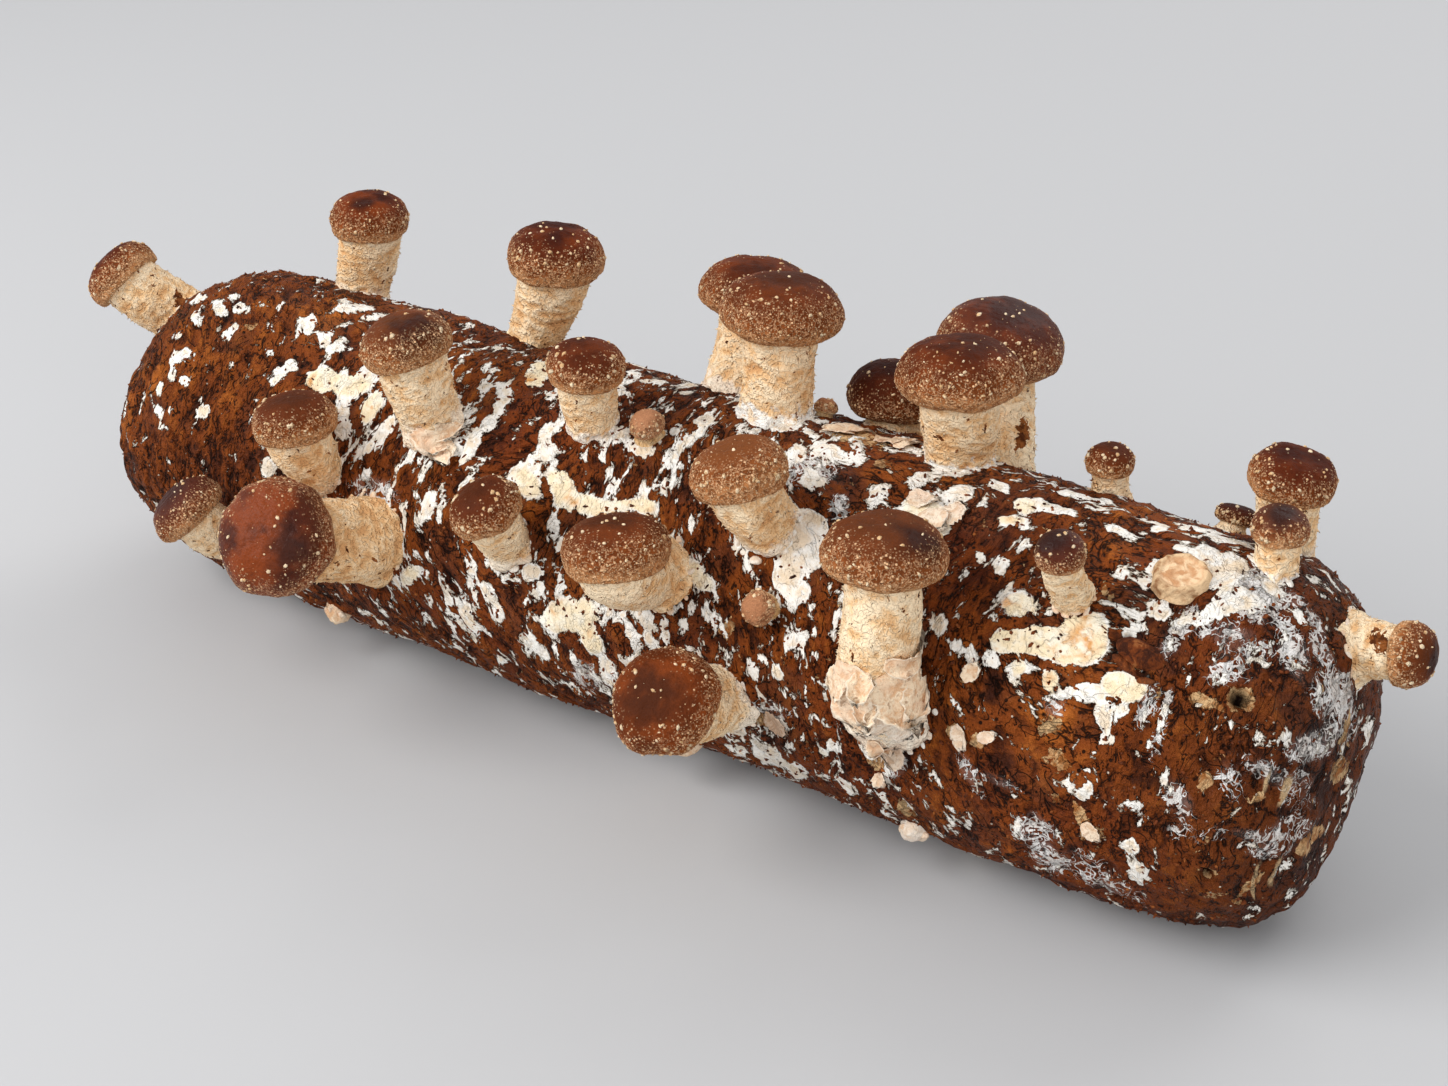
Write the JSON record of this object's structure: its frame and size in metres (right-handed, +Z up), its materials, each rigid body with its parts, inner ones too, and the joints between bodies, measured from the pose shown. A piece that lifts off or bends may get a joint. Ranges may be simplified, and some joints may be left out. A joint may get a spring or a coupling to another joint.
{
  "type": "shiitake grow block",
  "caption": "Log-shaped block of colonised sawdust, brown and rough with white patches, with shiitake mushrooms, buds and a cut foot growing out of its top, front and ends.",
  "frame": {"origin": "middle of the flat strip that the log lies on, halfway along the log", "axes": "+Z up, +X along the log towards the end with the broad white patches, -Y the side with the low mushrooms"},
  "size_m": [0.4289, 0.151, 0.1358],
  "materials": {
    "rind": "matte",
    "cap_skin": "satin",
    "stem_flesh": "matte",
    "young_flesh": "matte"
  },
  "bodies": {
    "root": {"log": "rind", "cap_01": "cap_skin", "stem_01": "stem_flesh", "cap_02": "cap_skin", "stem_02": "stem_flesh", "cap_03": "cap_skin", "stem_03": "stem_flesh", "cap_04": "cap_skin", "stem_04": "stem_flesh", "cap_05": "cap_skin", "stem_05": "stem_flesh", "cap_06": "cap_skin", "stem_06": "stem_flesh", "cap_07": "cap_skin", "stem_07": "stem_flesh", "cap_08": "cap_skin", "stem_08": "stem_flesh", "cap_09": "cap_skin", "stem_09": "stem_flesh", "cap_10": "cap_skin", "stem_10": "stem_flesh", "cap_11": "cap_skin", "stem_11": "stem_flesh", "cap_12": "cap_skin", "stem_12": "stem_flesh", "cap_13": "cap_skin", "stem_13": "stem_flesh", "cap_14": "cap_skin", "stem_14": "stem_flesh", "cap_15": "cap_skin", "stem_15": "stem_flesh", "cap_16": "cap_skin", "stem_16": "stem_flesh", "cap_17": "cap_skin", "stem_17": "stem_flesh", "cap_18": "cap_skin", "stem_18": "stem_flesh", "cap_19": "cap_skin", "stem_19": "stem_flesh", "cap_20": "cap_skin", "stem_20": "stem_flesh", "cap_21": "cap_skin", "stem_21": "stem_flesh", "cap_22": "cap_skin", "stem_22": "stem_flesh", "cap_23": "cap_skin", "stem_23": "stem_flesh", "cap_24": "cap_skin", "stem_24": "stem_flesh", "pin_01": "young_flesh", "pin_02": "young_flesh", "pin_03": "young_flesh", "nub_01": "stem_flesh", "nub_02": "stem_flesh", "nub_03": "stem_flesh", "cut_stump": "stem_flesh"}
  },
  "joints": []
}
